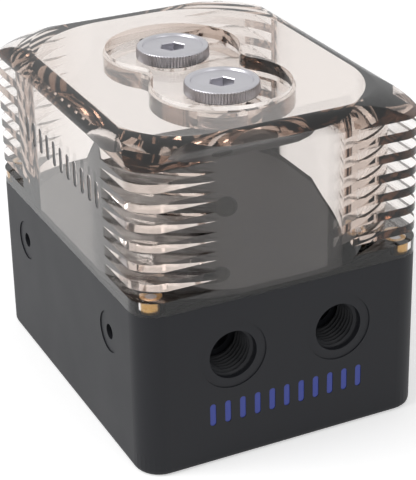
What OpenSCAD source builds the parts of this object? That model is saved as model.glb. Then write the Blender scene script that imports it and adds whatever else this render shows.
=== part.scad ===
// Coolant pump reservoir: a smoked clear tank on a black base that holds a canned-motor
// centrifugal pump. Two threaded ports in front, two knurled fill plugs on top.
// +Z is up, the ports face -Y, and the origin is at the centre of the underside.

/* [Body] */
// Width of the base and tank, left to right
body_w = 80; // [78:0.5:100]
// Depth of the base and tank, front to back
body_d = 100; // [98:0.5:130]
// Radius of the upright corners
corner_r = 7; // [6:0.5:10]

/* [Base] */
// Height of the base from the floor to the tank, with its cover
base_top = 45.5; // [44:0.5:60]
// Height of the bottom cover
cover_h = 5.5; // [5:0.25:6.5]
// Thickness of the cover's floor under the pump
cover_floor = 2.5; // [1.5:0.1:2.6]
// Rounding along the cover's lower edge
foot_r = 1.4; // [0.6:0.1:2]

/* [Tank] */
// Height of the tank above the base
tank_h = 43; // [42:0.5:80]
// Thickness of the tank's side walls
tank_wall = 4; // [3.4:0.1:5]
// Thickness of the tank's top
tank_roof = 4.5; // [4:0.1:6]
// Radius of the cavity's upright corners
cavity_corner_r = 28; // [26:0.5:30]
// Height of the rounded upper edge
edge_h = 4.8; // [3.5:0.1:6]
// How far the flat top stays inside the walls
edge_in = 5; // [4:0.1:6]
// Corner radius of the flat top
top_r = 17.5; // [14:0.5:20]

/* [Corner slots] */
// Slots at each corner
slot_count = 7; // [4:1:7]
// Height of a slot
slot_h = 2.9; // [1.5:0.1:3]
// Height of the plain ring under the lowest slot
slot_ring_h = 3.8; // [3.6:0.1:5]
// How far a slot runs along each face from the corner
slot_reach = 21; // [16:0.5:23]
// Distance of the slot arc's centre from both faces
slot_arc_in = 30; // [28:0.5:36]

/* [Fill recess] */
// Distance between the two fill plugs
plug_spacing = 30; // [28:0.5:34]
// Radius of each round lobe of the recess
lobe_r = 18.2; // [17:0.1:19]
// Radius of the blend between the lobes
waist_r = 7; // [5:0.5:10]
// Depth of the recess
recess_depth = 3.5; // [2.5:0.1:3.8]
// How far the plug boss hangs below the tank's top
boss_drop = 4.5; // [3:0.1:8]
// Width that the boss has outside the recess
boss_rim = 0.6; // [0.4:0.1:1.5]

/* [Fill plugs] */
// Radius of a quarter-inch pipe thread over its crests
thread_r = 6.58; // [6:0.01:7]
// Radial play between a plug's shank and its hole
thread_play = 0.08; // [0.02:0.01:0.1]
// Radius of the knurled head
head_r = 9.9; // [9.6:0.1:11]
// Height of the head
head_h = 3.5; // [3:0.1:5]
// Teeth of the straight knurl
knurl_count = 72; // [40:1:96]
// Depth of the knurl
knurl_depth = 0.3; // [0.1:0.05:0.4]
// Length of the threaded shank below the recess floor
shank_len = 5; // [3:0.1:5.4]
// Size across flats of the hex socket
hex_af = 6; // [4:0.5:7]
// Depth of the hex socket
hex_depth = 2.6; // [1:0.1:4]

/* [Ports] */
// Distance between the two ports
port_spacing = 30; // [28:0.5:31]
// Height of the ports above the floor
port_z = 30; // [29.5:0.25:32]
// Depth of a port's thread
port_len = 12; // [8:0.5:13]
// Radius of the flat ring round a port
port_face_r = 9.15; // [8:0.05:11]
// Radius of the passages behind the ports
passage_r = 4.5; // [3:0.1:4.6]
// Distance of the return hole's centre from the front
return_in = 17; // [15:0.5:20]

/* [Side holes] */
// Radius of the mounting holes
side_hole_r = 2; // [1.5:0.05:2.5]
// Depth of the mounting holes
side_hole_len = 9; // [5:0.5:10]
// Distance of the mounting holes from the front and the back
side_hole_in = 20.5; // [16:0.5:24]
// Height of the mounting holes above the floor
side_hole_z = 33; // [28:0.5:38]
// Radius of the flat ring round a mounting hole
side_face_r = 5.5; // [4:0.1:7]

/* [Front inlay] */
// Number of blue inlays
inlay_count = 11; // [5:1:11]
// Distance between neighbouring inlays
inlay_pitch = 4.2; // [3:0.1:4.4]
// Width of an inlay
inlay_w = 1.7; // [1:0.1:2]
// Height of an inlay
inlay_h = 6.3; // [4:0.1:8]
// Height of the inlays' centre above the floor
inlay_z = 14.2; // [12:0.1:16]

/* [Pump] */
// Distance of the pump's axis behind the middle of the base
pump_y = 4; // [2:0.5:6]
// Radius of the impeller
impeller_r = 18; // [16:0.1:18.5]
// Number of impeller blades
blade_count = 6; // [4:1:8]
// Thickness of an impeller blade
blade_t = 1.2; // [0.8:0.1:1.6]
// Radius of the intake hole in the tank's floor
intake_r = 6.5; // [5:0.1:8]
// Radius of the pump shaft
shaft_r = 1.5; // [1.2:0.05:1.8]
// Radial play of the bush on the shaft
bush_play = 0.05; // [0.02:0.01:0.1]
// Number of stator teeth
tooth_count = 6; // [4:1:6]
// Height of the stator's iron
stack_h = 8; // [6:0.1:8.4]
// Thickness of the circuit board
board_t = 1.4; // [1:0.1:1.6]

/* [Fasteners] */
// Thread radius of all the screws
screw_r = 1.5; // [1.2:0.05:1.6]
// Radius of a screw's head
screw_head_r = 2.75; // [2.5:0.05:2.8]
// Distance of the tank screws from the outer faces
tank_screw_in = 5.5; // [5.2:0.1:6]
// Distance of the cover screws from the left and right faces
cover_screw_in = 6; // [5:0.1:6.5]
// Distance between the front and rear cover screws
cover_screw_spacing = 52; // [44:1:60]

/* [Cable outlet] */
// Radius of the hole that the grommet leaves for the lead
cable_r = 2.1; // [1.5:0.1:2.4]
// Height of the cable outlet above the floor
cable_z = 12; // [11:0.5:14]

/* [Hidden] */

$fn = 96;
eps = 0.1;                // how far a cut runs past the face it opens
overlap = 0.4;            // how deep joined solids reach into each other
hull_fn = 32;             // segments of the round pieces inside a hull

// Tank
tank_top = base_top + tank_h;
shoulder_z = tank_top - edge_h;         // where the walls end and the rounded edge starts
edge_angle_0 = 9;                       // the rounded edge starts with a slight crease
edge_chord = sqrt(pow(edge_in, 2) + pow(edge_h, 2));
edge_r = edge_chord / (2 * sin(atan2(edge_in, edge_h) - edge_angle_0));
crest_angle = 90 + edge_angle_0 - 2 * atan2(edge_in, edge_h);   // its slope where the flat top starts
edge_clear = 1;                         // how far the edge's cuts run past the block
slot_roof_gap = 0.2;
slot_pitch = (tank_h - edge_h - slot_roof_gap - slot_ring_h - slot_h) / (slot_count - 1);
ceiling_z = tank_top - tank_roof;
recess_z = tank_top - recess_depth;
boss_z = ceiling_z - boss_drop;
plug_y = plug_spacing / 2;

// Seal between base and tank
seal_w = 1.8;
seal_h = 1.2;
seal_in = tank_wall / 2 - seal_w / 2 + 0.4;
seal_corner_r = cavity_corner_r - 2;

// Fill plugs
shank_r = thread_r - thread_play;
plug_seal_r = 0.75;                     // radius of the plug seal's round section
plug_seal_gap = 0.05;
plug_seal_centre_r = shank_r + plug_seal_r + 0.35;
head_z = recess_z + 0.3;
plug_top = head_z + head_h;
neck_h = 0.4;
rim_r = head_r - knurl_depth;
rim_w = 1.5;
dish_depth = 0.6;
rim_h = 0.7;

// Pump: heights from the impeller chamber's floor, which hangs from the port height
chamber_z = port_z - 6;
chamber_h = 10;
volute_r = impeller_r + 2.8;
volute_shift = 1;                       // the chamber is off centre, so it widens to the outlet
pump_bore_r = impeller_r + 12;
flange_r = pump_bore_r - 0.5;
can_flange_t = 3;
can_flange_z = chamber_z - can_flange_t;
can_seal_r = 0.75;
can_seal_centre_r = impeller_r + 5.5;
well_r = 8.6;
well_wall = 1;
well_floor_z = chamber_z - 13.8;
well_floor_t = 1.5;
shaft_boss_h = 1;
shaft_boss_r = 3;
washer_h = 0.6;
rotor_play = 0.1;
rotor_z = well_floor_z + shaft_boss_h + washer_h + rotor_play;
rotor_r = well_r - 0.6;
shroud_z = chamber_z + 0.6;
shroud_t = 1.5;
blade_z = shroud_z + shroud_t;
blade_h = 6.5;
blade_inner_r = intake_r - 0.5;
blade_bend_r = impeller_r * 0.78;
hub_r = 4.5;
hub_h = 5;
bush_r = 3;
bush_h = 14.1;
shaft_end_z = rotor_z + bush_h + 2.5;
magnet_inner_r = 4.6;
magnet_outer_r = 7.2;
magnet_h = 8;

// Motor
housing_flange_t = 1.5;
housing_z = cover_floor + 0.4;
housing_wall = 1.3;
housing_floor_t = 1.5;
motor_gap = 0.1;
screw_circle_r = flange_r - 2.9;
housing_r = screw_circle_r - screw_head_r - 0.35;
yoke_r = housing_r - housing_wall - motor_gap;
yoke_t = 2.9;
stack_z = chamber_z - 13.5;
stack_ledge_w = 1;
bore_gap = 0.3;
tooth_w = 4.6;
shoe_t = 1.5;
shoe_angle = 40;
coil_inner_r = 12;
bobbin_wall = 0.7;
coil_depth = 1.3;
coil_half_w = tooth_w / 2 + bobbin_wall + coil_depth;
coil_outer_r = sqrt(pow(yoke_r - yoke_t, 2) - pow(coil_half_w, 2)) - 0.1;
bobbin_flange_t = 0.8;
board_post_h = 1.2;
board_post_r = 1.5;
board_post_circle_r = 15;
board_z = housing_z + housing_floor_t + board_post_h;
board_r = yoke_r - stack_ledge_w - 0.2;
chip_h = 1.2;
cap_h = 1.3;

// Fasteners
hole_play = 0.2;
thread_gap = 0.05;
tank_screw_head_z = cover_h + 15;
screw_head_h = 3;
insert_r = 2.8;
insert_h = 3;
pump_screw_len = 8;
cover_screw_len = 8;
countersink_h = screw_head_r - screw_r;
drive_depth = 1.4;
drive_af = 2.5;

// Inlays and faces
face_depth = 0.3;
inlay_depth = 1.2;
inlay_sunk = 0.15;

// Cable outlet
cable_hole_r = cable_r + 1.1;
grommet_flange_r = cable_hole_r + 1.8;
grommet_flange_t = 1.2;
grommet_len = 9;
grommet_sunk = 0.2;

black = [0.19, 0.19, 0.21];
smoke = [0.55, 0.52, 0.50, 0.35];
steel = [0.70, 0.70, 0.72];
rubber_black = [0.08, 0.08, 0.08];

// ---- Shared shapes ----

// Rectangle with round corners
module rounded_outline(w, d, r) {
    square([w - 2 * r, d], center = true);
    square([w, d - 2 * r], center = true);
    for (x = [-1, 1], y = [-1, 1])
        translate([x * (w / 2 - r), y * (d / 2 - r)]) circle(r);
}

// Upright block with round corners, from z = 0 up
module rounded_block(w, d, r, h) {
    linear_extrude(h) rounded_outline(w, d, r);
}

// Four corner discs that a hull joins into one thin rounded slab
module slab_corners(w, d, r, z) {
    for (x = [-1, 1], y = [-1, 1])
        translate([x * (w / 2 - r), y * (d / 2 - r), z]) cylinder(r = r, h = 0.01, $fn = hull_fn);
}

// Outline of the fill recess: two lobes joined by a blended waist
module lobe_outline(r) {
    blend = waist_r - (r - lobe_r);
    waist_x = sqrt(pow(r + blend, 2) - pow(plug_y, 2));
    difference() {
        union() {
            for (y = [-1, 1]) translate([0, y * plug_y]) circle(r);
            polygon([[0, plug_y], [waist_x, 0], [0, -plug_y], [-waist_x, 0]]);
        }
        for (x = [-1, 1]) translate([x * waist_x, 0]) circle(blend);
    }
}

// Ring on the Z axis with a round section
module round_ring(centre_r, section_r) {
    rotate_extrude() translate([centre_r, 0]) circle(section_r, $fn = 24);
}

// Flat ring on the Z axis
module flat_ring(outer_r, inner_r, h) {
    difference() {
        cylinder(r = outer_r, h = h);
        translate([0, 0, -eps]) cylinder(r = inner_r, h = h + 2 * eps);
    }
}

// Copies its children to the four corners of a rectangle
module at_corners(x, y) {
    for (sx = [-1, 1], sy = [-1, 1]) translate([sx * x, sy * y, 0]) children();
}

// Copies its children to the pump's four screws
module at_pump_screws() {
    translate([0, pump_y, 0])
        for (a = [0:90:270]) rotate(a) translate([screw_circle_r, 0, 0]) children();
}

// Socket-head screw pointing up, with the seat of its head at z = 0
module cap_screw(len, head_h) {
    difference() {
        union() {
            cylinder(r = screw_r, h = len);
            translate([0, 0, -head_h]) cylinder(r = screw_head_r, h = head_h);
        }
        translate([0, 0, -head_h - eps]) cylinder(d = drive_af / cos(30), h = drive_depth + eps, $fn = 6);
    }
}

// Upright capsule on the XZ plane that runs from y = 0 back into the base
module capsule(w, h, depth) {
    rotate([-90, 0, 0]) linear_extrude(depth) {
        square([w, h - w], center = true);
        for (s = [-1, 1]) translate([0, s * (h - w) / 2]) circle(w / 2, $fn = 32);
    }
}

// ---- Base ----

// Copies its children to the inlays' places on the front face
module at_inlays() {
    for (i = [0:inlay_count - 1])
        translate([(i - (inlay_count - 1) / 2) * inlay_pitch, -body_d / 2, inlay_z]) children();
}

// Everything that carries coolant inside the base
module water_ways() {
    front = -body_d / 2;
    // Threaded ports with the flat ring round each mouth
    for (x = [-1, 1]) translate([x * port_spacing / 2, front, port_z]) rotate([-90, 0, 0]) {
        translate([0, 0, -eps]) cylinder(r = thread_r, h = port_len + eps);
        translate([0, 0, -eps]) cylinder(r = port_face_r, h = face_depth + eps);
    }
    // Return: back from the left port, then up through the tank's floor
    translate([-port_spacing / 2, front + port_len - eps, port_z]) rotate([-90, 0, 0])
        cylinder(r = passage_r, h = return_in - port_len + eps);
    translate([-port_spacing / 2, front + return_in, port_z]) sphere(passage_r);
    translate([-port_spacing / 2, front + return_in, port_z])
        cylinder(r = passage_r, h = base_top - port_z + eps);
    // Outlet: straight from the side of the impeller chamber to the right port
    translate([port_spacing / 2, front + port_len - eps, port_z]) rotate([-90, 0, 0])
        cylinder(r = passage_r, h = body_d / 2 - port_len + pump_y + eps);
    // Impeller chamber and the intake above it
    translate([volute_shift, pump_y - volute_shift, chamber_z - eps])
        cylinder(r = volute_r, h = chamber_h + eps);
    translate([0, pump_y, chamber_z]) cylinder(r = intake_r, h = base_top - chamber_z + eps);
}

module base_housing() {
    color(black)
    difference() {
        translate([0, 0, cover_h]) rounded_block(body_w, body_d, corner_r, base_top - cover_h);
        water_ways();
        // Bore that takes the pump from below
        translate([0, pump_y, cover_h - eps]) cylinder(r = pump_bore_r, h = chamber_z - cover_h + eps);
        at_pump_screws() translate([0, 0, chamber_z - eps])
            cylinder(r = screw_r + thread_gap, h = pump_screw_len - can_flange_t - housing_flange_t + 1 + eps);
        // Seal groove in the top
        translate([0, 0, base_top - seal_h]) seal_shape(0, eps);
        // Tank screws: clearance hole and deep counterbore
        at_corners(body_w / 2 - tank_screw_in, body_d / 2 - tank_screw_in) {
            translate([0, 0, cover_h - eps]) cylinder(r = screw_r + hole_play, h = base_top);
            translate([0, 0, cover_h - eps])
                cylinder(r = screw_head_r + hole_play, h = tank_screw_head_z - cover_h + eps);
        }
        // Blind holes for the cover screws
        at_corners(body_w / 2 - cover_screw_in, cover_screw_spacing / 2)
            translate([0, 0, cover_h - eps])
                cylinder(r = screw_r + thread_gap, h = cover_screw_len - cover_h + 1 + eps);
        // Mounting holes in both sides
        for (x = [-1, 1], y = [-1, 1])
            translate([x * body_w / 2, y * (body_d / 2 - side_hole_in), side_hole_z]) rotate([0, -90 * x, 0]) {
                translate([0, 0, -eps]) cylinder(r = side_hole_r, h = side_hole_len + eps);
                translate([0, 0, -eps]) cylinder(r = side_face_r, h = face_depth + eps);
            }
        // Pockets for the inlays
        at_inlays() translate([0, -eps, 0]) capsule(inlay_w, inlay_h, inlay_depth + eps);
        // Cable outlet through the rear wall
        translate([0, body_d / 2 + eps, cable_z]) rotate([90, 0, 0]) {
            cylinder(r = cable_hole_r, h = body_d / 2 - pump_y - pump_bore_r + 2);
            cylinder(r = grommet_flange_r + hole_play, h = grommet_flange_t + grommet_sunk + eps);
        }
    }
}

module bottom_cover() {
    color(black)
    difference() {
        hull() {
            for (a = [0:30:90]) {
                inset = foot_r * (1 - sin(a));
                slab_corners(body_w - 2 * inset, body_d - 2 * inset, corner_r - inset, foot_r * (1 - cos(a)));
            }
            slab_corners(body_w, body_d, corner_r, cover_h - 0.01);
        }
        // Room for the motor
        translate([0, pump_y, cover_floor]) cylinder(r = pump_bore_r, h = cover_h);
        at_corners(body_w / 2 - cover_screw_in, cover_screw_spacing / 2) {
            translate([0, 0, -eps]) cylinder(r = screw_r + hole_play, h = cover_h + 2 * eps);
            translate([0, 0, -eps])
                cylinder(r1 = screw_head_r + hole_play + eps, r2 = screw_r + hole_play, h = countersink_h + eps);
        }
    }
}

// Plan of the tank seal, grown by the given play on both sides
module seal_outline(play) {
    outer_w = body_w - 2 * seal_in + 2 * play;
    outer_d = body_d - 2 * seal_in + 2 * play;
    inner = 2 * seal_w + 4 * play;
    difference() {
        rounded_outline(outer_w, outer_d, seal_corner_r + play);
        rounded_outline(outer_w - inner, outer_d - inner, seal_corner_r - seal_w - play);
    }
}

module seal_shape(play, extra_h) {
    linear_extrude(seal_h + extra_h) seal_outline(play);
}

module tank_seal() {
    color(rubber_black) translate([0, 0, base_top - seal_h]) seal_shape(0, 0);
}

module front_inlays() {
    color([0.20, 0.24, 0.62])
        at_inlays() translate([0, inlay_sunk, 0]) capsule(inlay_w, inlay_h, inlay_depth - inlay_sunk);
}

// ---- Tank ----

// Outer form: upright walls, then an edge that curves in to the flat top
module tank_form() {
    difference() {
        translate([0, 0, base_top]) rounded_block(body_w, body_d, corner_r, tank_h);
        for (turn = [0, 180]) rotate(turn) {
            translate([-body_w / 2, body_d / 2 + eps, shoulder_z]) rotate([90, 0, 0])
                linear_extrude(body_d + 2 * eps) edge_waste();
            translate([-body_w / 2 - eps, -body_d / 2, shoulder_z]) rotate([90, 0, 90])
                linear_extrude(body_w + 2 * eps) edge_waste();
        }
        for (mx = [0, 1], my = [0, 1]) mirror([mx, 0, 0]) mirror([0, my, 0]) corner_waste();
    }
}

// What the rounded edge takes away, seen end on: +X runs inward, and the shoulder is at the origin
module edge_waste() {
    centre = [edge_r * cos(edge_angle_0), -edge_r * sin(edge_angle_0)];
    difference() {
        translate([-edge_clear, centre[1]]) square([edge_clear + centre[0], edge_h - centre[1] + edge_clear]);
        translate(centre) circle(edge_r);
    }
}

// What the curved fall takes away at one corner: it leaves the flat top's corner arc at the slope
// of the rounded edge, and reaches the shoulder at the outermost point
module corner_waste() {
    side = edge_in + top_r;
    fall_w = (side - corner_r) * sqrt(2) + corner_r - top_r;
    fall_r = norm([fall_w, edge_h]) / (2 * sin(atan2(edge_h, fall_w) - crest_angle));
    centre = [top_r - fall_r * sin(crest_angle), edge_h - fall_r * cos(crest_angle)];
    translate([body_w / 2 - side, body_d / 2 - side, shoulder_z]) difference() {
        translate([0, 0, -edge_clear]) cube([side + edge_clear, side + edge_clear, edge_h + 2 * edge_clear]);
        rotate_extrude() intersection() {
            union() {
                translate(centre) circle(fall_r);
                translate([0, centre[1]]) square([centre[0], fall_r]);
            }
            translate([0, -2 * edge_clear]) square(top_r + fall_w + fall_r);
        }
    }
}

// One slot round a corner at the origin, open to -X and -Y, with an arc for its inner wall
module corner_slot() {
    arc_r = sqrt(pow(slot_arc_in - slot_reach, 2) + pow(slot_arc_in, 2));
    difference() {
        translate([-eps, -eps, 0]) cube([slot_reach + 2 * eps, slot_reach + 2 * eps, slot_h]);
        translate([slot_arc_in, slot_arc_in, -eps]) cylinder(r = arc_r, h = slot_h + 2 * eps);
    }
}

module reservoir_tank() {
    color(smoke)
    difference() {
        union() {
            difference() {
                tank_form();
                translate([0, 0, base_top - eps])
                    rounded_block(body_w - 2 * tank_wall, body_d - 2 * tank_wall, cavity_corner_r,
                                  tank_h - tank_roof + eps);
            }
            translate([0, 0, boss_z]) linear_extrude(boss_drop + overlap) lobe_outline(lobe_r + boss_rim);
        }
        translate([0, 0, recess_z]) linear_extrude(recess_depth + eps) lobe_outline(lobe_r);
        for (y = [-1, 1]) translate([0, y * plug_y, boss_z - eps])
            cylinder(r = thread_r, h = recess_z - boss_z + 2 * eps);
        for (mx = [0, 1], my = [0, 1]) mirror([mx, 0, 0]) mirror([0, my, 0])
            for (i = [0:slot_count - 1])
                translate([-body_w / 2, -body_d / 2, base_top + slot_ring_h + i * slot_pitch]) corner_slot();
        at_corners(body_w / 2 - tank_screw_in, body_d / 2 - tank_screw_in)
            translate([0, 0, base_top - eps]) cylinder(r = insert_r, h = insert_h + eps);
    }
}

module tank_inserts() {
    color([0.72, 0.57, 0.30])
        at_corners(body_w / 2 - tank_screw_in, body_d / 2 - tank_screw_in)
            translate([0, 0, base_top]) flat_ring(insert_r, screw_r + thread_gap, insert_h);
}

module tank_screws() {
    color(steel)
        at_corners(body_w / 2 - tank_screw_in, body_d / 2 - tank_screw_in)
            translate([0, 0, tank_screw_head_z]) cap_screw(base_top + insert_h - 0.2 - tank_screw_head_z, screw_head_h);
}

// ---- Fill plugs ----

// Straight knurl: a ring of fine teeth
module knurl(r, depth, count, h) {
    linear_extrude(h) polygon([for (i = [0:2 * count - 1])
        let (a = i * 180 / count, tooth_r = r - (i % 2) * depth) [tooth_r * cos(a), tooth_r * sin(a)]]);
}

module fill_plug() {
    difference() {
        union() {
            translate([0, 0, recess_z - shank_len]) cylinder(r = shank_r, h = shank_len + head_h);
            rotate_extrude() polygon([
                [0, head_z], [rim_r - 0.5, head_z], [rim_r - 0.1, head_z + neck_h],
                [rim_r - 0.1, plug_top - rim_h], [rim_r - 0.25, plug_top - 0.2], [rim_r - 0.6, plug_top],
                [rim_r - rim_w, plug_top], [rim_r - rim_w - 0.5, plug_top - dish_depth], [0, plug_top - dish_depth]]);
            translate([0, 0, head_z + neck_h]) knurl(head_r, knurl_depth, knurl_count, head_h - neck_h - rim_h);
        }
        // Groove under the head for the seal
        translate([0, 0, head_z - eps])
            flat_ring(plug_seal_centre_r + plug_seal_r + 0.3, shank_r,
                      recess_z + 2 * plug_seal_r + 2 * plug_seal_gap - head_z + eps);
        translate([0, 0, plug_top - dish_depth - hex_depth])
            cylinder(d = hex_af / cos(30), h = hex_depth + dish_depth + eps, $fn = 6);
    }
}

module plug_seal() {
    translate([0, 0, recess_z + plug_seal_gap + plug_seal_r]) round_ring(plug_seal_centre_r, plug_seal_r);
}

module fill_plug_front() {
    color(steel) translate([0, -plug_y, 0]) fill_plug();
}

module fill_plug_rear() {
    color(steel) translate([0, plug_y, 0]) rotate(180) fill_plug();
}

module plug_seal_front() {
    color(rubber_black) translate([0, -plug_y, 0]) plug_seal();
}

module plug_seal_rear() {
    color(rubber_black) translate([0, plug_y, 0]) plug_seal();
}

// ---- Wet end of the pump ----

// Flange with a well that keeps the rotor's coolant away from the stator
module pump_can() {
    color([0.25, 0.25, 0.27])
    difference() {
        union() {
            translate([0, pump_y, can_flange_z]) cylinder(r = flange_r, h = can_flange_t);
            translate([0, pump_y, well_floor_z - well_floor_t])
                cylinder(r = well_r + well_wall, h = can_flange_z + overlap - well_floor_z + well_floor_t);
        }
        difference() {
            translate([0, pump_y, well_floor_z]) cylinder(r = well_r, h = chamber_z - well_floor_z + eps);
            translate([0, pump_y, well_floor_z - eps]) cylinder(r = shaft_boss_r, h = shaft_boss_h + eps);
        }
        translate([0, pump_y, well_floor_z - 1]) cylinder(r = shaft_r, h = shaft_boss_h + 1 + eps);
        translate([0, pump_y, chamber_z - 2 * can_seal_r])
            flat_ring(can_seal_centre_r + can_seal_r + 0.1, can_seal_centre_r - can_seal_r - 0.1,
                      2 * can_seal_r + eps);
        at_pump_screws() translate([0, 0, can_flange_z - eps])
            cylinder(r = screw_r + hole_play, h = can_flange_t + 2 * eps);
    }
}

module can_seal() {
    color(rubber_black) translate([0, pump_y, chamber_z - can_seal_r]) round_ring(can_seal_centre_r, can_seal_r);
}

module pump_shaft() {
    color([0.93, 0.92, 0.88])
        translate([0, pump_y, well_floor_z - 1]) cylinder(r = shaft_r, h = shaft_end_z - well_floor_z + 1);
}

module thrust_washer() {
    color([0.93, 0.92, 0.88])
        translate([0, pump_y, well_floor_z + shaft_boss_h])
            flat_ring(shaft_boss_r, shaft_r + bush_play, washer_h);
}

// One blade that curves back from the intake to the rim
module blade() {
    linear_extrude(blade_h + overlap) intersection() {
        difference() {
            circle(impeller_r - 0.3);
            circle(blade_inner_r);
        }
        translate([blade_bend_r, 0]) difference() {
            circle(blade_bend_r + blade_t / 2);
            circle(blade_bend_r - blade_t / 2);
        }
        translate([0, -impeller_r]) square([2 * impeller_r, impeller_r]);
    }
}

module impeller() {
    color([0.88, 0.88, 0.86])
    translate([0, pump_y, 0]) difference() {
        union() {
            translate([0, 0, rotor_z]) cylinder(r = rotor_r, h = shroud_z + overlap - rotor_z);
            translate([0, 0, shroud_z]) cylinder(r = impeller_r, h = shroud_t);
            translate([0, 0, blade_z - overlap]) cylinder(r = hub_r, h = hub_h - 2 + overlap);
            translate([0, 0, blade_z + hub_h - 2]) cylinder(r1 = hub_r, r2 = hub_r - 2, h = 2);
            for (a = [0:360 / blade_count:359]) rotate(a) translate([0, 0, blade_z - overlap]) blade();
        }
        translate([0, 0, rotor_z - eps]) cylinder(r = bush_r, h = bush_h + eps);
        translate([0, 0, rotor_z + bush_h - eps]) cylinder(r = shaft_r + 0.4, h = 3 + eps);
        translate([0, 0, rotor_z - eps]) flat_ring(magnet_outer_r, magnet_inner_r, magnet_h + eps);
    }
}

module impeller_bush() {
    color([0.20, 0.20, 0.20])
        translate([0, pump_y, rotor_z]) flat_ring(bush_r, shaft_r + bush_play, bush_h);
}

module rotor_magnet() {
    color([0.35, 0.35, 0.37])
        translate([0, pump_y, rotor_z]) flat_ring(magnet_outer_r, magnet_inner_r, magnet_h);
}

// ---- Motor ----

module motor_housing() {
    color([0.16, 0.16, 0.17])
    difference() {
        translate([0, pump_y, 0]) union() {
            difference() {
                union() {
                    translate([0, 0, housing_z]) cylinder(r = housing_r, h = can_flange_z - housing_z);
                    translate([0, 0, can_flange_z - housing_flange_t])
                        cylinder(r = flange_r, h = housing_flange_t);
                }
                translate([0, 0, stack_z]) cylinder(r = yoke_r + motor_gap, h = can_flange_z - stack_z + eps);
                translate([0, 0, housing_z + housing_floor_t])
                    cylinder(r = yoke_r - stack_ledge_w, h = can_flange_z - housing_z);
            }
            for (a = [45:90:315]) rotate(a)
                translate([board_post_circle_r, 0, housing_z + housing_floor_t - overlap])
                    cylinder(r = board_post_r, h = board_post_h + overlap);
        }
        at_pump_screws() translate([0, 0, can_flange_z - housing_flange_t - eps])
            cylinder(r = screw_r + hole_play, h = housing_flange_t + 2 * eps);
        // Lead-out in the rear wall
        translate([0, pump_y + yoke_r, board_z + board_t + 1]) rotate([-90, 0, 0])
            cylinder(r = 1, h = 2 * housing_wall, center = true);
    }
}

// Ring of iron with inward teeth that end in curved shoes
module stator_core() {
    tooth_tip_r = well_r + well_wall + bore_gap;
    color([0.55, 0.56, 0.60])
    translate([0, pump_y, stack_z]) {
        flat_ring(yoke_r, yoke_r - yoke_t, stack_h);
        for (i = [0:tooth_count - 1]) rotate(i * 360 / tooth_count) {
            translate([tooth_tip_r + shoe_t / 2, -tooth_w / 2, 0])
                cube([yoke_r - yoke_t / 2 - tooth_tip_r - shoe_t / 2, tooth_w, stack_h]);
            rotate(-shoe_angle / 2) rotate_extrude(angle = shoe_angle)
                translate([tooth_tip_r, 0]) square([shoe_t, stack_h]);
        }
    }
}

// Rectangular frame round a tooth: a bobbin or a winding between two radii
module tooth_frame(inner_r, outer_r, inside, outside) {
    difference() {
        translate([inner_r, -tooth_w / 2 - outside, stack_z - outside])
            cube([outer_r - inner_r, tooth_w + 2 * outside, stack_h + 2 * outside]);
        translate([inner_r - eps, -tooth_w / 2 - inside, stack_z - inside])
            cube([outer_r - inner_r + 2 * eps, tooth_w + 2 * inside, stack_h + 2 * inside]);
    }
}

// Copies its children to every stator tooth
module at_teeth() {
    translate([0, pump_y, 0])
        for (i = [0:tooth_count - 1]) rotate(i * 360 / tooth_count) children();
}

module coil_bobbins() {
    color([0.90, 0.88, 0.80]) at_teeth() {
        tooth_frame(coil_inner_r, coil_outer_r, 0, bobbin_wall);
        tooth_frame(coil_inner_r, coil_inner_r + bobbin_flange_t, 0, bobbin_wall + coil_depth);
        tooth_frame(coil_outer_r - bobbin_flange_t, coil_outer_r, 0, bobbin_wall + coil_depth);
    }
}

module stator_coils() {
    color([0.72, 0.40, 0.22]) at_teeth()
        tooth_frame(coil_inner_r + bobbin_flange_t, coil_outer_r - bobbin_flange_t,
                    bobbin_wall, bobbin_wall + coil_depth);
}

module motor_board() {
    color([0.10, 0.35, 0.20])
    difference() {
        translate([0, pump_y, board_z]) cylinder(r = board_r, h = board_t);
        // Flat that lets the lead pass
        translate([-board_r, pump_y + board_r - 3, board_z - eps]) cube([2 * board_r, 4, board_t + 2 * eps]);
    }
}

module board_parts() {
    color([0.12, 0.12, 0.13])
    translate([0, pump_y, board_z + board_t]) {
        // Controller, three drivers and two capacitors
        translate([-3, -3, 0]) cube([6, 6, 0.9]);
        for (x = [-1, 0, 1]) translate([x * 8 - 2.5, -14, 0]) cube([5, 4, chip_h]);
        for (x = [-1, 1]) translate([x * 10, 8, 0]) cylinder(r = 1.8, h = cap_h);
    }
}

// ---- Fasteners and cable outlet ----

module pump_screws() {
    color(steel)
        at_pump_screws() translate([0, 0, can_flange_z - housing_flange_t]) cap_screw(pump_screw_len, 2.4);
}

module cover_screws() {
    color(steel)
        at_corners(body_w / 2 - cover_screw_in, cover_screw_spacing / 2) difference() {
            union() {
                translate([0, 0, hole_play]) cylinder(r1 = screw_head_r, r2 = screw_r, h = countersink_h);
                translate([0, 0, hole_play + countersink_h - eps])
                    cylinder(r = screw_r, h = cover_screw_len - hole_play - countersink_h + eps);
            }
            translate([0, 0, hole_play - eps]) cylinder(d = 2 / cos(30), h = 1 + eps, $fn = 6);
        }
}

module cable_grommet() {
    color(rubber_black)
    translate([0, body_d / 2 - grommet_sunk, cable_z]) rotate([90, 0, 0]) {
        difference() {
            union() {
                cylinder(r = cable_hole_r, h = grommet_len);
                cylinder(r = grommet_flange_r, h = grommet_flange_t);
            }
            translate([0, 0, -eps]) cylinder(r = cable_r, h = grommet_len + 2 * eps);
        }
    }
}

base_housing();
bottom_cover();
reservoir_tank();
tank_seal();
tank_inserts();
tank_screws();
fill_plug_front();
fill_plug_rear();
plug_seal_front();
plug_seal_rear();
front_inlays();
pump_can();
can_seal();
pump_shaft();
thrust_washer();
impeller();
impeller_bush();
rotor_magnet();
motor_housing();
stator_core();
coil_bobbins();
stator_coils();
motor_board();
board_parts();
pump_screws();
cover_screws();
cable_grommet();
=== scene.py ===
import math

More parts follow.
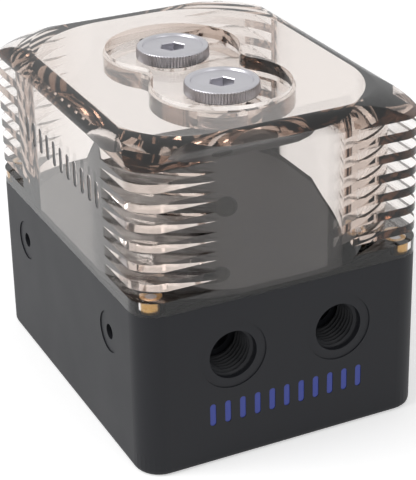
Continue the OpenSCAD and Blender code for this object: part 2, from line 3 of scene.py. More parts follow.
import bmesh
import bpy
from mathutils import Matrix, Vector


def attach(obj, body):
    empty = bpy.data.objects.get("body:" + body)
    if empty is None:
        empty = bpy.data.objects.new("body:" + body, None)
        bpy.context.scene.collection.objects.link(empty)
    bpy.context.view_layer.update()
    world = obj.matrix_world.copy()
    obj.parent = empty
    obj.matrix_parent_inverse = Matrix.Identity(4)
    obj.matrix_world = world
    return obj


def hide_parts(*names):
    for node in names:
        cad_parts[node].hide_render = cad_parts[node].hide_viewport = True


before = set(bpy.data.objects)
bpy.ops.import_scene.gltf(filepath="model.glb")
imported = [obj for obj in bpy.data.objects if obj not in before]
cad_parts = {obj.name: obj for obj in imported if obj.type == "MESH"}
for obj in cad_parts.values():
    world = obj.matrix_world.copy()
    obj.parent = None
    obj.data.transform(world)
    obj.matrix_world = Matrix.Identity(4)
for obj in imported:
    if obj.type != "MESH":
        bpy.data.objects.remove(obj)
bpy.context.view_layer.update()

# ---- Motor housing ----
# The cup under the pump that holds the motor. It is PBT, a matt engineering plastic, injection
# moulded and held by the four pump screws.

MM = 0.001
MIX_A, MIX_B, MIX_OUT = 6, 7, 2     # a Mix node's colour sockets


def srgb(hex_code):
    """The linear colour that shaders take, from a colour written in sRGB hex."""
    shares = [int(hex_code[i:i + 2], 16) / 255 for i in (0, 2, 4)]
    return [c / 12.92 if c <= 0.04045 else ((c + 0.055) / 1.055) ** 2.4 for c in shares] + [1]


def add(tree, kind, links=(), **settings):
    """Adds a shader node: its settings by name, its links as (input, output that feeds it)."""
    node = tree.nodes.new(kind)
    for key, value in settings.items():
        if hasattr(node, key):
            setattr(node, key, value)
        else:
            node.inputs[key.replace("_", " ")].default_value = value
    for name, output in links:
        tree.links.new(output, node.inputs[name])
    return node


def new_material(name, **sockets):
    """A material with its Principled shader's sockets set, and the mesh's own coordinates."""
    mat = bpy.data.materials.new(name)
    mat.use_nodes = True
    skin = mat.node_tree.nodes["Principled BSDF"]
    for key, value in sockets.items():
        skin.inputs[key.replace("_", " ")].default_value = value
    place = add(mat.node_tree, "ShaderNodeTexCoord").outputs["Object"]
    return mat, mat.node_tree, skin, place


def dress(node_name, mat):
    """Puts a material on a CAD node that stays in view."""
    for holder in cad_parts[node_name].material_slots:
        holder.material = mat


def fine_grained(name, hex_code, roughness, grain_mm, grain_depth_mm, ior=1.53, scuff=0.04):
    """An opaque plastic, ceramic or enamel: one body colour with faint clouds, a fine grain in
    the surface, and a gloss that wanders a little."""
    mat, tree, skin, place = new_material(name, IOR=ior)
    clouds = add(tree, "ShaderNodeTexNoise", [("Vector", place)], Scale=1 / (14 * MM), Detail=3.0)
    grain = add(tree, "ShaderNodeTexNoise", [("Vector", place)],
                Scale=1 / (grain_mm * MM), Detail=2.0, Roughness=0.6)
    dark, light = srgb(hex_code), [1.18 * c for c in srgb(hex_code)[:3]] + [1]
    colour = add(tree, "ShaderNodeMix", [("Factor", clouds.outputs["Fac"])], data_type="RGBA")
    colour.inputs[MIX_A].default_value = dark
    colour.inputs[MIX_B].default_value = light
    gloss = add(tree, "ShaderNodeMapRange", [("Value", clouds.outputs["Fac"])],
                To_Min=roughness - scuff, To_Max=roughness + scuff)
    relief = add(tree, "ShaderNodeBump", [("Height", grain.outputs["Fac"])],
                 Strength=1.0, Distance=grain_depth_mm * MM)
    tree.links.new(colour.outputs[MIX_OUT], skin.inputs["Base Color"])
    tree.links.new(gloss.outputs["Result"], skin.inputs["Roughness"])
    tree.links.new(relief.outputs["Normal"], skin.inputs["Normal"])
    return mat


dress("motor_housing", fine_grained("pbt_moulded_black", "26262a", 0.5, 0.5, 0.02))

# ---- Motor board and its parts ----
# A glass-epoxy circuit board with a green solder mask, and its black epoxy chips and capacitors.
# The mask shows the copper tracks under it as paler lines.

mask, tree, skin, place = new_material("fr4_green_mask", Roughness=0.28, IOR=1.55)
tracks = add(tree, "ShaderNodeTexWave", [("Vector", place)], wave_type="BANDS",
             bands_direction="DIAGONAL", Scale=1 / (9 * MM), Distortion=1.5)
weave = add(tree, "ShaderNodeTexNoise", [("Vector", place)], Scale=1 / (0.6 * MM), Detail=2.0)
shades = add(tree, "ShaderNodeValToRGB", [("Fac", tracks.outputs["Fac"])])
shades.color_ramp.elements[0].position, shades.color_ramp.elements[0].color = 0.6, srgb("1d5a38")
shades.color_ramp.elements[1].position, shades.color_ramp.elements[1].color = 0.66, srgb("2f7a4c")
relief = add(tree, "ShaderNodeBump", [("Height", weave.outputs["Fac"])], Distance=0.02 * MM)
tree.links.new(shades.outputs["Color"], skin.inputs["Base Color"])
tree.links.new(relief.outputs["Normal"], skin.inputs["Normal"])
dress("motor_board", mask)
dress("board_parts", fine_grained("epoxy_chip_black", "1c1c1e", 0.42, 0.2, 0.01))

# ---- Stator ----
# Laminated electrical steel with one bobbin per tooth. The stack shows its 0.5 mm sheets as fine
# lines, the bobbins are cream nylon, and the coils are enamelled copper wire wound side by side.

steel_sheet, tree, skin, place = new_material("silicon_steel_laminated", Metallic=1.0)
height = add(tree, "ShaderNodeSeparateXYZ", [("Vector", place)])
sheet = add(tree, "ShaderNodeMath", [(0, height.outputs["Z"])], operation="PINGPONG")
sheet.inputs[1].default_value = 0.25 * MM
edge = add(tree, "ShaderNodeMapRange", [("Value", sheet.outputs["Value"])], From_Max=0.25 * MM)
shades = add(tree, "ShaderNodeValToRGB", [("Fac", edge.outputs["Result"])])
shades.color_ramp.elements[0].color = srgb("3c3d42")
shades.color_ramp.elements[1].position, shades.color_ramp.elements[1].color = 0.3, srgb("8b8c92")
gloss = add(tree, "ShaderNodeMapRange", [("Value", edge.outputs["Result"])],
            To_Min=0.6, To_Max=0.38)
relief = add(tree, "ShaderNodeBump", [("Height", edge.outputs["Result"])], Distance=0.03 * MM)
tree.links.new(shades.outputs["Color"], skin.inputs["Base Color"])
tree.links.new(gloss.outputs["Result"], skin.inputs["Roughness"])
tree.links.new(relief.outputs["Normal"], skin.inputs["Normal"])
dress("stator_core", steel_sheet)
dress("coil_bobbins", fine_grained("nylon_cream_moulded", "d8cfb4", 0.45, 0.4, 0.01))

copper, tree, skin, place = new_material("copper_wire_enamelled", Metallic=1.0, Coat_Weight=0.6,
                                         Coat_Roughness=0.15)
height = add(tree, "ShaderNodeSeparateXYZ", [("Vector", place)])
turn = add(tree, "ShaderNodeMath", [(0, height.outputs["Z"])], operation="PINGPONG")
turn.inputs[1].default_value = 0.2 * MM
round_wire = add(tree, "ShaderNodeMapRange", [("Value", turn.outputs["Value"])],
                 From_Max=0.2 * MM, interpolation_type="SMOOTHSTEP")
# The colour follows each turn's round profile, dark brown between turns and bright copper on the
# crests: painted shade in the grooves and a painted highlight on the crests, over the real relief of
# the bump.
shades = add(tree, "ShaderNodeValToRGB", [("Fac", round_wire.outputs["Result"])])
shades.color_ramp.elements[0].color = srgb("5a2410")
shades.color_ramp.elements[1].color = srgb("c4703c")
relief = add(tree, "ShaderNodeBump", [("Height", round_wire.outputs["Result"])],
             Distance=0.1 * MM)
tree.links.new(shades.outputs["Color"], skin.inputs["Base Color"])
tree.links.new(relief.outputs["Normal"], skin.inputs["Normal"])
skin.inputs["Roughness"].default_value = 0.25
dress("stator_coils", copper)

# ---- Pump can, shaft and washer ----
# The can is a thin cup of dark grey PPS that parts the coolant from the motor. The shaft is
# polished alumina ceramic and the thrust washer is the same, so both look like white china.

dress("pump_can", fine_grained("pps_moulded_grey", "4b4a48", 0.4, 0.4, 0.01))
ceramic = fine_grained("alumina_ceramic_ground", "e4e0d6", 0.18, 0.15, 0.002,
                          ior=1.76, scuff=0.02)
dress("pump_shaft", ceramic)
dress("thrust_washer", ceramic)

# ---- Rotor ----
# A white moulded impeller with a black ferrite magnet in its stem and a carbon bush that runs on
# the shaft. The ferrite is ground and dull, and the carbon has a grey metallic bloom.

dress("impeller", fine_grained("ppe_moulded_white", "dad8d2", 0.36, 0.4, 0.006))
dress("rotor_magnet",
      fine_grained("ferrite_sintered_ground", "33322f", 0.48, 0.12, 0.008, ior=2.3))
dress("impeller_bush",
      fine_grained("carbon_graphite_turned", "3a3a3e", 0.34, 0.1, 0.004, ior=2.0))

# ---- Seals ----
# Nitrile rubber rings, moulded black. Rubber is matt with a soft sheen at grazing angles, and a
# little talc dust greys it.


def nitrile_rubber(name, hex_code):
    """Moulded nitrile: near black, with dusty patches and a fine skin."""
    mat, tree, skin, place = new_material(name, IOR=1.52, Sheen_Weight=0.15, Sheen_Roughness=0.4)
    dust = add(tree, "ShaderNodeTexNoise", [("Vector", place)], Scale=1 / (3 * MM), Detail=4.0)
    fine = add(tree, "ShaderNodeTexNoise", [("Vector", place)], Scale=1 / (0.15 * MM), Detail=2.0)
    shades = add(tree, "ShaderNodeValToRGB", [("Fac", dust.outputs["Fac"])])
    low, high = shades.color_ramp.elements
    low.position, low.color = 0.35, srgb(hex_code)
    high.position, high.color = 0.8, srgb("2c2c2d")
    gloss = add(tree, "ShaderNodeMapRange", [("Value", dust.outputs["Fac"])],
                To_Min=0.48, To_Max=0.7)
    relief = add(tree, "ShaderNodeBump", [("Height", fine.outputs["Fac"])], Distance=0.01 * MM)
    tree.links.new(shades.outputs["Color"], skin.inputs["Base Color"])
    tree.links.new(gloss.outputs["Result"], skin.inputs["Roughness"])
    tree.links.new(relief.outputs["Normal"], skin.inputs["Normal"])
    return mat


rubber = nitrile_rubber("nitrile_rubber_moulded", "161617")
for seal in ("can_seal", "tank_seal", "plug_seal_front", "plug_seal_rear", "cable_grommet"):
    dress(seal, rubber)

# ---- Screws and threaded inserts ----
# The screws are stainless steel with rolled threads and turned heads, and the inserts in the tank
# are turned brass. Turning leaves fine rings, so their gloss is streaked round the axis.


def turned_metal(name, hex_code, roughness, ring_mm):
    """Turned metal: fine rings across the surface in its gloss and its relief."""
    mat, tree, skin, place = new_material(name, Metallic=1.0)
    rings = add(tree, "ShaderNodeTexNoise", [("Vector", place)],
                Scale=1 / (ring_mm * MM), Detail=3.0)
    patina = add(tree, "ShaderNodeTexNoise", [("Vector", place)], Scale=1 / (2.5 * MM), Detail=3.0)
    shades = add(tree, "ShaderNodeValToRGB", [("Fac", patina.outputs["Fac"])])
    shades.color_ramp.elements[0].color = [0.72 * c for c in srgb(hex_code)[:3]] + [1]
    shades.color_ramp.elements[1].color = srgb(hex_code)
    gloss = add(tree, "ShaderNodeMapRange", [("Value", rings.outputs["Fac"])],
                To_Min=roughness - 0.08, To_Max=roughness + 0.08)
    relief = add(tree, "ShaderNodeBump", [("Height", rings.outputs["Fac"])], Distance=0.004 * MM)
    tree.links.new(shades.outputs["Color"], skin.inputs["Base Color"])
    tree.links.new(gloss.outputs["Result"], skin.inputs["Roughness"])
    tree.links.new(relief.outputs["Normal"], skin.inputs["Normal"])
    return mat


stainless = turned_metal("stainless_steel_turned", "b4b4b8", 0.3, 0.2)
for screws in ("pump_screws", "tank_screws", "cover_screws"):
    dress(screws, stainless)
dress("tank_inserts", turned_metal("brass_turned", "c79a4e", 0.28, 0.2))

# ---- Base housing and bottom cover ----
# The block that carries the pump, the ports and the side holes, and the cover under it. Both are
# acetal, machined and bead blasted, so they are a matt blue-black with a very fine even grain.

acetal = fine_grained("acetal_blasted_black", "1d1e22", 0.52, 0.3, 0.012, ior=1.48, scuff=0.05)
acetal.node_tree.nodes["Principled BSDF"].inputs["Specular IOR Level"].default_value = 0.3
dress("base_housing", acetal)
dress("bottom_cover", acetal)

# ---- Port threads ----
# Quarter-inch parallel pipe threads cut in both ports, 19 threads to the inch, behind a short
# plain lip. Each is the same acetal as the base, and catches the light on its flanks.


def lathe_skin(name, rings):
    """A mesh tube from rings that all have the same number of points, left open at both ends."""
    mesh = bpy.data.meshes.new(name)
    count = len(rings[0])
    faces = [(r * count + i, r * count + (i + 1) % count, (r + 1) * count + (i + 1) % count,
              (r + 1) * count + i) for r in range(len(rings) - 1) for i in range(count)]
    mesh.from_pydata([p for ring in rings for p in ring], [], faces)
    mesh.update()
    piece = bpy.data.objects.new(name, mesh)
    bpy.context.scene.collection.objects.link(piece)
    return piece


def smooth(piece, angle=math.radians(35)):
    """Shades a piece smooth, with creases where faces meet at more than the angle."""
    bpy.context.view_layer.objects.active = piece
    bpy.ops.object.select_all(action="DESELECT")
    piece.select_set(True)
    bpy.ops.object.shade_smooth_by_angle(angle=angle)
    return piece


THREAD_PITCH = 25.4 / 19
THREAD_R = 6.58
THREAD_DEPTH = 0.856
THREAD_STEP, LEAD_IN, RUN_OUT, THREAD_PLAY = 0.12, 1.0, 0.5, 0.02


def thread_height(turns):
    """How far a Whitworth thread stands up, 0 to 1, at that many turns along it."""
    share = abs((turns % 1.0) * 2 - 1)
    return min(1.0, max(0.0, (share - 0.12) / 0.76))


port_lip, port_len, front_y = 1.7, 11.9, -50.0
port_x, port_z = 15.0, 30.0
around = 96
for side, label in ((-1, "left"), (1, "right")):
    rings = []
    for step in range(int((port_len - port_lip) / THREAD_STEP) + 1):
        depth = port_lip + THREAD_STEP * step
        start = min(1.0, (depth - port_lip) / LEAD_IN, (port_len - depth) / RUN_OUT)
        ring = []
        for i in range(around):
            turn = i / around
            rise = thread_height(depth / THREAD_PITCH - turn) * THREAD_DEPTH * max(0.0, start)
            r = THREAD_R - THREAD_PLAY - rise
            a = 2 * math.pi * turn
            ring.append(((side * port_x + r * math.cos(a)) * MM, (front_y + depth) * MM,
                         (port_z + r * math.sin(a)) * MM))
        rings.append(ring)
    back = [((side * port_x + (THREAD_R - 0.01) * math.cos(2 * math.pi * i / around)) * MM,
             p[1], (port_z + (THREAD_R - 0.01) * math.sin(2 * math.pi * i / around)) * MM)
            for ring in (rings[-1], rings[0]) for i, p in enumerate(ring)]
    rings += [back[:around], back[around:], rings[0]]
    thread = smooth(lathe_skin(f"port_thread_{label}", rings))
    bm = bmesh.new()
    bm.from_mesh(thread.data)
    bmesh.ops.remove_doubles(bm, verts=bm.verts, dist=0.001 * MM)
    bmesh.ops.recalc_face_normals(bm, faces=bm.faces)
    bm.to_mesh(thread.data)
    bm.free()
    thread.data.materials.append(acetal)
    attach(thread, "root")

# ---- Front inlays ----
# Eleven upright capsules of blue enamel, filled into pockets in the base's front and rubbed flat.
# Enamel is glossy over a deep colour.

dress("front_inlays", fine_grained("enamel_blue_filled", "2f3f96", 0.3, 0.8, 0.01, ior=1.5))

# ---- Reservoir tank ----
# Smoked acrylic, milled from a block and polished: four clear walls, a roof with the recess for
# the fill plugs, and seven deep slots round each corner. Every milled edge is lightly broken.

BODY_W, BODY_D, CORNER_R = 80.0, 100.0, 7.0
TANK_Z0, TANK_Z1 = 45.5, 88.5
EDGE_H, EDGE_IN, TOP_R, CREASE = 4.8, 5.0, 17.5, math.radians(9)
SHOULDER_Z = TANK_Z1 - EDGE_H
WALL, CEILING_Z, CAVITY_R = 4.0, 84.0, 28.0
PLUG_Y, RECESS_Z, BOSS_Z = 15.0, 85.0, 79.5
LOBE_R, WAIST_R, BOSS_RIM = 18.2, 7.0, 0.6


def arc(cx, cy, r, a0, a1, n):
    """Points along an arc, its angles in degrees."""
    return [(cx + r * math.cos(math.radians(a0 + (a1 - a0) * i / n)),
             cy + r * math.sin(math.radians(a0 + (a1 - a0) * i / n))) for i in range(n + 1)]


def round_rectangle(w, d, r, n):
    """Outline of a rectangle with round corners."""
    x, y = w / 2 - r, d / 2 - r
    return arc(x, y, r, 0, 90, n) + arc(-x, y, r, 90, 180, n) \
        + arc(-x, -y, r, 180, 270, n) + arc(x, -y, r, 270, 360, n)


def loft(name, rings):
    """A closed solid through rings of points in mm, with the same count in each."""
    piece = lathe_skin(name, [[(x * MM, y * MM, z * MM) for x, y, z in ring] for ring in rings])
    bm = bmesh.new()
    bm.from_mesh(piece.data)
    bmesh.ops.remove_doubles(bm, verts=bm.verts, dist=0.0005 * MM)
    bmesh.ops.holes_fill(bm, edges=[e for e in bm.edges if e.is_boundary])
    bmesh.ops.recalc_face_normals(bm, faces=bm.faces)
    bm.to_mesh(piece.data)
    bm.free()
    return piece


def prism(name, outline, z0, z1):
    """A straight solid over an outline, from one height to another."""
    return loft(name, [[(x, y, z) for x, y in outline] for z in (z0, z1)])


def combine(piece, tool, operation):
    """Joins a tool solid to a piece or cuts it away, and clears the tool up."""
    step = piece.modifiers.new(operation, "BOOLEAN")
    step.operation, step.object, step.solver = operation, tool, "EXACT"
    bpy.context.view_layer.objects.active = piece
    bpy.ops.object.modifier_apply(modifier=step.name)
    bpy.data.objects.remove(tool)


def lobes(r, n):
    """Outline of the fill recess: two round lobes joined by a blended waist."""
    blend = WAIST_R - (r - LOBE_R)
    waist_x = math.sqrt((r + blend) ** 2 - PLUG_Y ** 2)
    lean = math.degrees(math.atan2(PLUG_Y, waist_x))
    return arc(0, PLUG_Y, r, -lean, 180 + lean, 4 * n) \
        + arc(-waist_x, 0, blend, lean, -lean, n)[1:-1] \
        + arc(0, -PLUG_Y, r, 180 - lean, 360 + lean, 4 * n) \
        + arc(waist_x, 0, blend, 180 + lean, 180 - lean, n)[1:-1]


tank = prism("tank_smoked_acrylic", round_rectangle(BODY_W, BODY_D, CORNER_R, 16),
             TANK_Z0, TANK_Z1)

# The upper edge: a long ball-nosed cut along each side, seen end on as a circle
chord_angle = math.atan2(EDGE_IN, EDGE_H)
edge_r = math.hypot(EDGE_IN, EDGE_H) / (2 * math.sin(chord_angle - CREASE))
edge_c = (edge_r * math.cos(CREASE), -edge_r * math.sin(CREASE))
bow = arc(*edge_c, edge_r, 180, 90, 24)
edge_cut = [(-1, edge_c[1])] + bow + [(edge_c[0], EDGE_H + 1), (-1, EDGE_H + 1)]
for turn, half, reach in ((0, BODY_W / 2, BODY_D), (90, BODY_D / 2, BODY_W),
                          (180, BODY_W / 2, BODY_D), (270, BODY_D / 2, BODY_W)):
    strip = loft("edge_cut", [[(-half + x, y, SHOULDER_Z + z) for x, z in edge_cut]
                              for y in (-reach / 2 - 1, reach / 2 + 1)])
    strip.data.transform(Matrix.Rotation(math.radians(turn), 4, "Z"))
    combine(tank, strip, "DIFFERENCE")

# The upper corners: a curved fall, turned about the flat top's corner centre
side_in = EDGE_IN + TOP_R
crest = math.pi / 2 + CREASE - 2 * chord_angle
fall_w = (side_in - CORNER_R) * math.sqrt(2) + CORNER_R - TOP_R
fall_r = math.hypot(fall_w, EDGE_H) / (2 * math.sin(math.atan2(EDGE_H, fall_w) - crest))
FALL_STEPS, SWEEP_STEPS = 24, 48
fall_c = (TOP_R - fall_r * math.sin(crest), EDGE_H - fall_r * math.cos(crest))
for sx in (1, -1):
    for sy in (1, -1):
        rings = []
        for k in range(FALL_STEPS + 1):
            r = fall_c[0] + (fall_w + TOP_R + 2 - fall_c[0]) * k / FALL_STEPS
            z = fall_c[1] + math.sqrt(fall_r ** 2 - (r - fall_c[0]) ** 2)
            rings.append([(r * math.cos(a), r * math.sin(a), z)
                          for a in (math.radians(-1 + 92 * i / SWEEP_STEPS)
                                    for i in range(SWEEP_STEPS + 1))])
        top = [[(x, y, EDGE_H + 1) for x, y, z in ring] for ring in (rings[-1], rings[0])]
        solid = bpy.data.meshes.new("corner_cut")
        bm = bmesh.new()
        grid = [[bm.verts.new(p) for p in ring] for ring in rings + top + [rings[0]]]
        for low, high in zip(grid, grid[1:]):
            for i in range(SWEEP_STEPS):
                bm.faces.new((low[i], low[i + 1], high[i + 1], high[i]))
        for end in (0, SWEEP_STEPS):
            bm.faces.new([row[end] for row in grid[:-1]])
        bmesh.ops.remove_doubles(bm, verts=bm.verts, dist=1e-6)
        bmesh.ops.scale(bm, vec=(sx * MM, sy * MM, MM), verts=bm.verts)
        bmesh.ops.translate(bm, vec=(sx * (BODY_W / 2 - side_in) * MM,
                                     sy * (BODY_D / 2 - side_in) * MM,
                                     SHOULDER_Z * MM), verts=bm.verts)
        bmesh.ops.recalc_face_normals(bm, faces=bm.faces)
        bm.to_mesh(solid)
        bm.free()
        cutter = bpy.data.objects.new("corner_cut", solid)
        bpy.context.scene.collection.objects.link(cutter)
        combine(tank, cutter, "DIFFERENCE")

# The cavity, the plug boss that hangs from its ceiling, the recess and the plugs' holes
combine(tank, prism("cavity", round_rectangle(BODY_W - 2 * WALL, BODY_D - 2 * WALL, CAVITY_R, 40),
                    TANK_Z0 - 1, CEILING_Z), "DIFFERENCE")
combine(tank, prism("boss", lobes(LOBE_R + BOSS_RIM, 12), BOSS_Z, CEILING_Z + 0.4), "UNION")
combine(tank, prism("recess", lobes(LOBE_R, 12), RECESS_Z, TANK_Z1 + 1), "DIFFERENCE")
for y in (-PLUG_Y, PLUG_Y):
    combine(tank, prism("plug_hole", arc(0, y, THREAD_R, 0, 360, 64)[:-1],
                        BOSS_Z - 1, RECESS_Z + 0.5), "DIFFERENCE")

# The corner slots, whose inner wall is one wide arc, and the blind holes for the inserts
SLOT_H, SLOT_RING, SLOT_REACH, SLOT_IN, SLOT_COUNT = 2.9, 3.8, 21.0, 30.0, 7
SLOT_ROOF_GAP, PAST = 0.2, 0.5
INSERT_IN, INSERT_R, INSERT_DEEP = 5.5, 2.82, 3.05
slot_pitch = (TANK_Z1 - TANK_Z0 - EDGE_H - SLOT_ROOF_GAP - SLOT_RING - SLOT_H) / (SLOT_COUNT - 1)
slot_r = math.hypot(SLOT_IN - SLOT_REACH, SLOT_IN)
tip = math.degrees(math.asin((SLOT_IN - SLOT_REACH) / slot_r))
for sx in (1, -1):
    for sy in (1, -1):
        cut = [(SLOT_REACH, -PAST)] + arc(SLOT_IN, SLOT_IN, slot_r, 270 - tip, 180 + tip, 32) \
            + [(-PAST, SLOT_REACH), (-PAST, -PAST)]
        outline = [(sx * (BODY_W / 2 - x), sy * (BODY_D / 2 - y)) for x, y in cut]
        for i in range(SLOT_COUNT):
            z = TANK_Z0 + SLOT_RING + i * slot_pitch
            combine(tank, prism("slot", outline, z, z + SLOT_H), "DIFFERENCE")
        hole = arc(sx * (BODY_W / 2 - INSERT_IN), sy * (BODY_D / 2 - INSERT_IN), INSERT_R,
                   0, 360, 32)[:-1]
        combine(tank, prism("insert_hole", hole, TANK_Z0 - 1, TANK_Z0 + INSERT_DEEP), "DIFFERENCE")

# Pockets for the row of inlays on the left face
SIDE_COUNT, SIDE_PITCH, SIDE_MID_Y, SIDE_Z = 11, 4.8, -2.0, 69.5
SIDE_W, SIDE_H, SIDE_DEPTH = 1.9, 7.0, 0.6
side_face = -BODY_W / 2


def capsule_on_left(y, play, x0, x1):
    """A capsule-shaped solid let into the left face, upright, between two depths."""
    r, rise = SIDE_W / 2 - play, (SIDE_H - SIDE_W) / 2
    outline = arc(y, SIDE_Z + rise, r, 0, 180, 12) + arc(y, SIDE_Z - rise, r, 180, 360, 12)
    return loft("capsule", [[(x, a, b) for a, b in outline] for x in (x0, x1)])


side_rows = [SIDE_MID_Y + (i - (SIDE_COUNT - 1) / 2) * SIDE_PITCH for i in range(SIDE_COUNT)]
for y in side_rows:
    combine(tank, capsule_on_left(y, 0, side_face - 0.5, side_face + SIDE_DEPTH), "DIFFERENCE")

bpy.context.view_layer.objects.active = tank
broken = tank.modifiers.new("broken_edges", "BEVEL")
broken.width, broken.segments, broken.limit_method = 0.25 * MM, 3, "ANGLE"
broken.angle_limit = math.radians(35)
bpy.ops.object.modifier_apply(modifier=broken.name)
smooth(tank, math.radians(60))
flats = tank.modifiers.new("flat_faces", "WEIGHTED_NORMAL")
flats.keep_sharp = True
bpy.ops.object.modifier_apply(modifier=flats.name)

# Smoked acrylic: clear and glossy, with a warm grey tint that deepens along the thick edges
acrylic, tree, skin, place = new_material("acrylic_smoked_polished",
                                          Transmission_Weight=1.0, IOR=1.49)
wipe = add(tree, "ShaderNodeTexNoise", [("Vector", place)], Scale=1 / (25 * MM), Detail=3.0)
gloss = add(tree, "ShaderNodeMapRange", [("Value", wipe.outputs["Fac"])], To_Min=0.0, To_Max=0.03)
tree.links.new(gloss.outputs["Result"], skin.inputs["Roughness"])
skin.inputs["Base Color"].default_value = (1, 1, 1, 1)
smoke = add(tree, "ShaderNodeVolumeAbsorption", Color=(0.45, 0.27, 0.15, 1), Density=42.0)
tree.links.new(smoke.outputs["Volume"], tree.nodes["Material Output"].inputs["Volume"])
tank.data.materials.clear()
tank.data.materials.append(acrylic)
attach(tank, "root")
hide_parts("reservoir_tank")

# ---- Tank side inlays ----
# Eleven capsules of black enamel, filled into the pockets milled in the tank's left face. Through
# the acrylic behind them their backs show as black too.

enamel = fine_grained("enamel_black_filled", "121214", 0.35, 0.8, 0.01, ior=1.5)
capsules = [capsule_on_left(y, 0.01, side_face + 0.08, side_face + SIDE_DEPTH - 0.02)
            for y in side_rows]
bpy.ops.object.select_all(action="DESELECT")
for piece in capsules:
    piece.select_set(True)
bpy.context.view_layer.objects.active = capsules[0]
bpy.ops.object.join()
capsules[0].name = "tank_side_inlays"
capsules[0].data.materials.append(enamel)
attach(capsules[0], "root")

# ---- Fill plugs ----
# Turned brass with a satin nickel plate: a straight-knurled head with a raised rim, a hex socket,
# and a quarter-inch pipe thread below. Each screws down on its O-ring.

HEAD_Z, HEAD_TOP, HEAD_R, KNURL_DEPTH, TEETH = 85.3, 88.8, 9.9, 0.3, 72
SHANK_Z, SHANK_R, RIM_W, DISH = 80.0, 6.5, 1.5, 0.6
HEX_HALF, HEX_DEPTH = 3.0, 2.6
DISH_IN_R, GROOVE_MOUTH_R, GROOVE_R, GROOVE_H = 4.6, 8.7, 8.65, 1.1
NECK, PLUG_RING, PLUG_THREAD_DEPTH = 0.2, 0.1, 0.72
per_tooth = 6
count = TEETH * per_tooth

nickel, tree, skin, place = new_material("nickel_satin_plated", Metallic=1.0)
fine = add(tree, "ShaderNodeTexNoise", [("Vector", place)], Scale=1 / (0.12 * MM), Detail=2.0)
patch = add(tree, "ShaderNodeTexNoise", [("Vector", place)], Scale=1 / (5 * MM), Detail=3.0)
shades = add(tree, "ShaderNodeValToRGB", [("Fac", patch.outputs["Fac"])])
shades.color_ramp.elements[0].color = srgb("aeadb2")
shades.color_ramp.elements[1].color = srgb("c4c3c8")
gloss = add(tree, "ShaderNodeMapRange", [("Value", patch.outputs["Fac"])],
            To_Min=0.28, To_Max=0.4)
relief = add(tree, "ShaderNodeBump", [("Height", fine.outputs["Fac"])], Distance=0.004 * MM)
tree.links.new(shades.outputs["Color"], skin.inputs["Base Color"])
tree.links.new(gloss.outputs["Result"], skin.inputs["Roughness"])
tree.links.new(relief.outputs["Normal"], skin.inputs["Normal"])


def knurl(turn):
    """Depth of the knurl, 0 at a tooth's crest and 1 in the groove, with rounded crests."""
    return 0.5 - 0.5 * math.cos(2 * math.pi * turn * TEETH)


def hexagon(turn, across):
    """Distance from the centre to the side of a hexagon in that direction."""
    return across / math.cos((turn * 2 * math.pi) % (math.pi / 3) - math.pi / 6)


for y, label in ((-PLUG_Y, "front"), (PLUG_Y, "rear")):
    socket_z = HEAD_TOP - DISH - HEX_DEPTH
    # Height and radius down the plug: (z, radius, share of the knurl), from the socket outward
    profile = [(socket_z, None, 0), (HEAD_TOP - DISH - 0.25, None, 0),
               (HEAD_TOP - DISH, "mouth", 0), (HEAD_TOP - DISH, DISH_IN_R, 0),
               (HEAD_TOP - DISH, HEAD_R - RIM_W - 0.75, 0)]
    profile += [(HEAD_TOP - DISH + 0.12, HEAD_R - RIM_W - 0.5, 0),
                (HEAD_TOP - 0.15, HEAD_R - RIM_W - 0.32, 0),
                (HEAD_TOP, HEAD_R - RIM_W - 0.15, 0), (HEAD_TOP, HEAD_R - 0.85, 0)]
    profile += [(HEAD_TOP - 0.7 + 0.7 * math.cos(a), HEAD_R - 0.8 + 0.7 * math.sin(a), math.sin(a) ** 8)
                for a in (math.radians(d) for d in (15, 30, 45, 60, 72, 82, 90))]
    profile += [(HEAD_Z + 0.4, HEAD_R, 1), (HEAD_Z + 0.15, HEAD_R - 0.25, 0.4),
                (HEAD_Z, HEAD_R - 0.55, 0), (HEAD_Z, GROOVE_MOUTH_R, 0),
                (HEAD_Z + GROOVE_H, GROOVE_R, 0), (HEAD_Z + GROOVE_H, SHANK_R, 0)]
    steps = int((HEAD_Z - NECK - SHANK_Z) / PLUG_RING)
    profile += [(HEAD_Z - NECK - PLUG_RING * k, "thread", 0) for k in range(steps)]
    profile += [(SHANK_Z, SHANK_R - 1, 0)]
    rings = []
    for z, r, share in profile:
        ring = []
        for i in range(count):
            turn = i / count
            if r is None:
                radius = hexagon(turn, HEX_HALF)
            elif r == "mouth":
                radius = hexagon(turn, HEX_HALF + 0.2)
            elif r == "thread":
                fade = min(1.0, max(0.0, (z - SHANK_Z) / 0.8),
                           max(0.0, (HEAD_Z - NECK - z) / 0.6))
                radius = SHANK_R - PLUG_THREAD_DEPTH \
                    + PLUG_THREAD_DEPTH * fade * thread_height(z / THREAD_PITCH - turn)
            else:
                radius = r - KNURL_DEPTH * share * knurl(turn)
            a = 2 * math.pi * turn
            ring.append((radius * math.cos(a), y + radius * math.sin(a), z))
        rings.append(ring)
    plug = smooth(loft(f"plug_knurled_{label}", rings), math.radians(32))
    plug.data.materials.append(nickel)
    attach(plug, f"{label}_plug")
    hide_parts(f"fill_plug_{label}")

# ---- Studio ----
# A white sweep and soft light from the upper left, with a camera in front, to the left and above,
# and a long lens that keeps the sides nearly parallel.

FLOOR_GLOW = 0.45
AIM_M = (0, 0, 0.045)
CAMERA_MM = (-175.08, -373.89, 240.26)

scene = bpy.context.scene
scene.view_settings.view_transform = "Standard"
scene.cycles.max_bounces, scene.cycles.transmission_bounces = 32, 32
scene.cycles.glossy_bounces, scene.cycles.diffuse_bounces = 12, 4

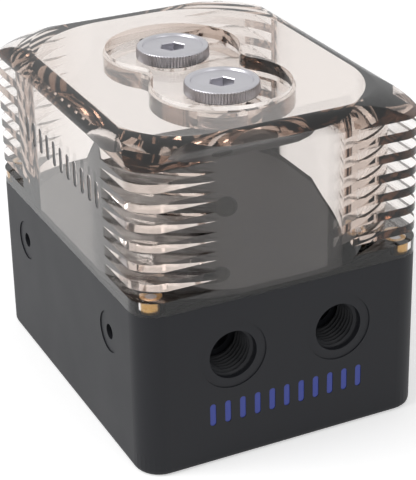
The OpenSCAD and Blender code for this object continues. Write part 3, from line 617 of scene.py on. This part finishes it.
bpy.ops.mesh.primitive_plane_add(size=6)
floor = bpy.context.object
floor.name = "studio_floor"
paper, tree, skin, place = new_material("paper_white_sweep", Roughness=0.9, Specular_IOR_Level=0.0)
tooth = add(tree, "ShaderNodeTexNoise", [("Vector", place)], Scale=1 / (1.5 * MM), Detail=2.0)
tone = add(tree, "ShaderNodeMapRange", [("Value", tooth.outputs["Fac"])], To_Min=0.78, To_Max=0.82)
tree.links.new(tone.outputs["Result"], skin.inputs["Base Color"])
path = add(tree, "ShaderNodeLightPath")
seen = add(tree, "ShaderNodeMath", [(0, path.outputs["Is Camera Ray"]),
                                    (1, path.outputs["Is Transmission Ray"])], operation="MAXIMUM")
seen = add(tree, "ShaderNodeMath", [(0, seen.outputs["Value"]), (1, path.outputs["Is Glossy Ray"])],
           operation="MAXIMUM")
lift = add(tree, "ShaderNodeMath", [(0, seen.outputs["Value"])], operation="MULTIPLY")
lift.inputs[1].default_value = FLOOR_GLOW
tree.links.new(lift.outputs["Value"], skin.inputs["Emission Strength"])
skin.inputs["Emission Color"].default_value = (1, 1, 1, 1)
floor.data.materials.append(paper)

world = bpy.data.worlds.new("studio_white")
scene.world = world
world.use_nodes = True
tree = world.node_tree
path = add(tree, "ShaderNodeLightPath")
seen = add(tree, "ShaderNodeMath", [(0, path.outputs["Is Camera Ray"]),
                                    (1, path.outputs["Is Transmission Ray"])], operation="MAXIMUM")
seen = add(tree, "ShaderNodeMath", [(0, seen.outputs["Value"]), (1, path.outputs["Is Glossy Ray"])],
           operation="MAXIMUM")
strength = add(tree, "ShaderNodeMapRange", [("Value", seen.outputs["Value"])],
               To_Min=0.5, To_Max=1.0)
tree.links.new(strength.outputs["Result"], tree.nodes["Background"].inputs["Strength"])
tree.nodes["Background"].inputs["Color"].default_value = (1, 1, 1, 1)

for name, place_m, size_m, watts in (("key_left", (-1.1, 0.1, 1.0), 0.8, 12.0),
                                     ("fill_front", (0.3, -1.2, 0.9), 0.7, 2.0)):
    lamp = bpy.data.lights.new(name, "AREA")
    lamp.size, lamp.energy = size_m, watts
    holder = bpy.data.objects.new(name, lamp)
    holder.location = place_m
    aim = Vector(AIM_M) - Vector(place_m)
    holder.rotation_mode = "QUATERNION"
    holder.rotation_quaternion = aim.to_track_quat("-Z", "Y")
    scene.collection.objects.link(holder)

lens = bpy.data.cameras.new("long_lens")
camera = bpy.data.objects.new("long_lens", lens)
scene.collection.objects.link(camera)
scene.camera = camera
lens.lens, lens.sensor_width = 125.64, 36.0
lens.shift_x, lens.shift_y = -0.026, -0.0706
lens.clip_start, lens.clip_end = 0.02, 20
forward = Vector((0.39513, 0.81473, -0.42437)).normalized()
right = Vector((0.89646, -0.44286, -0.01553)).normalized()
up = right.cross(forward)
turned = Matrix((right, up, -forward)).transposed()
camera.matrix_world = Matrix.Translation(Vector(CAMERA_MM) * MM) @ turned.to_4x4()
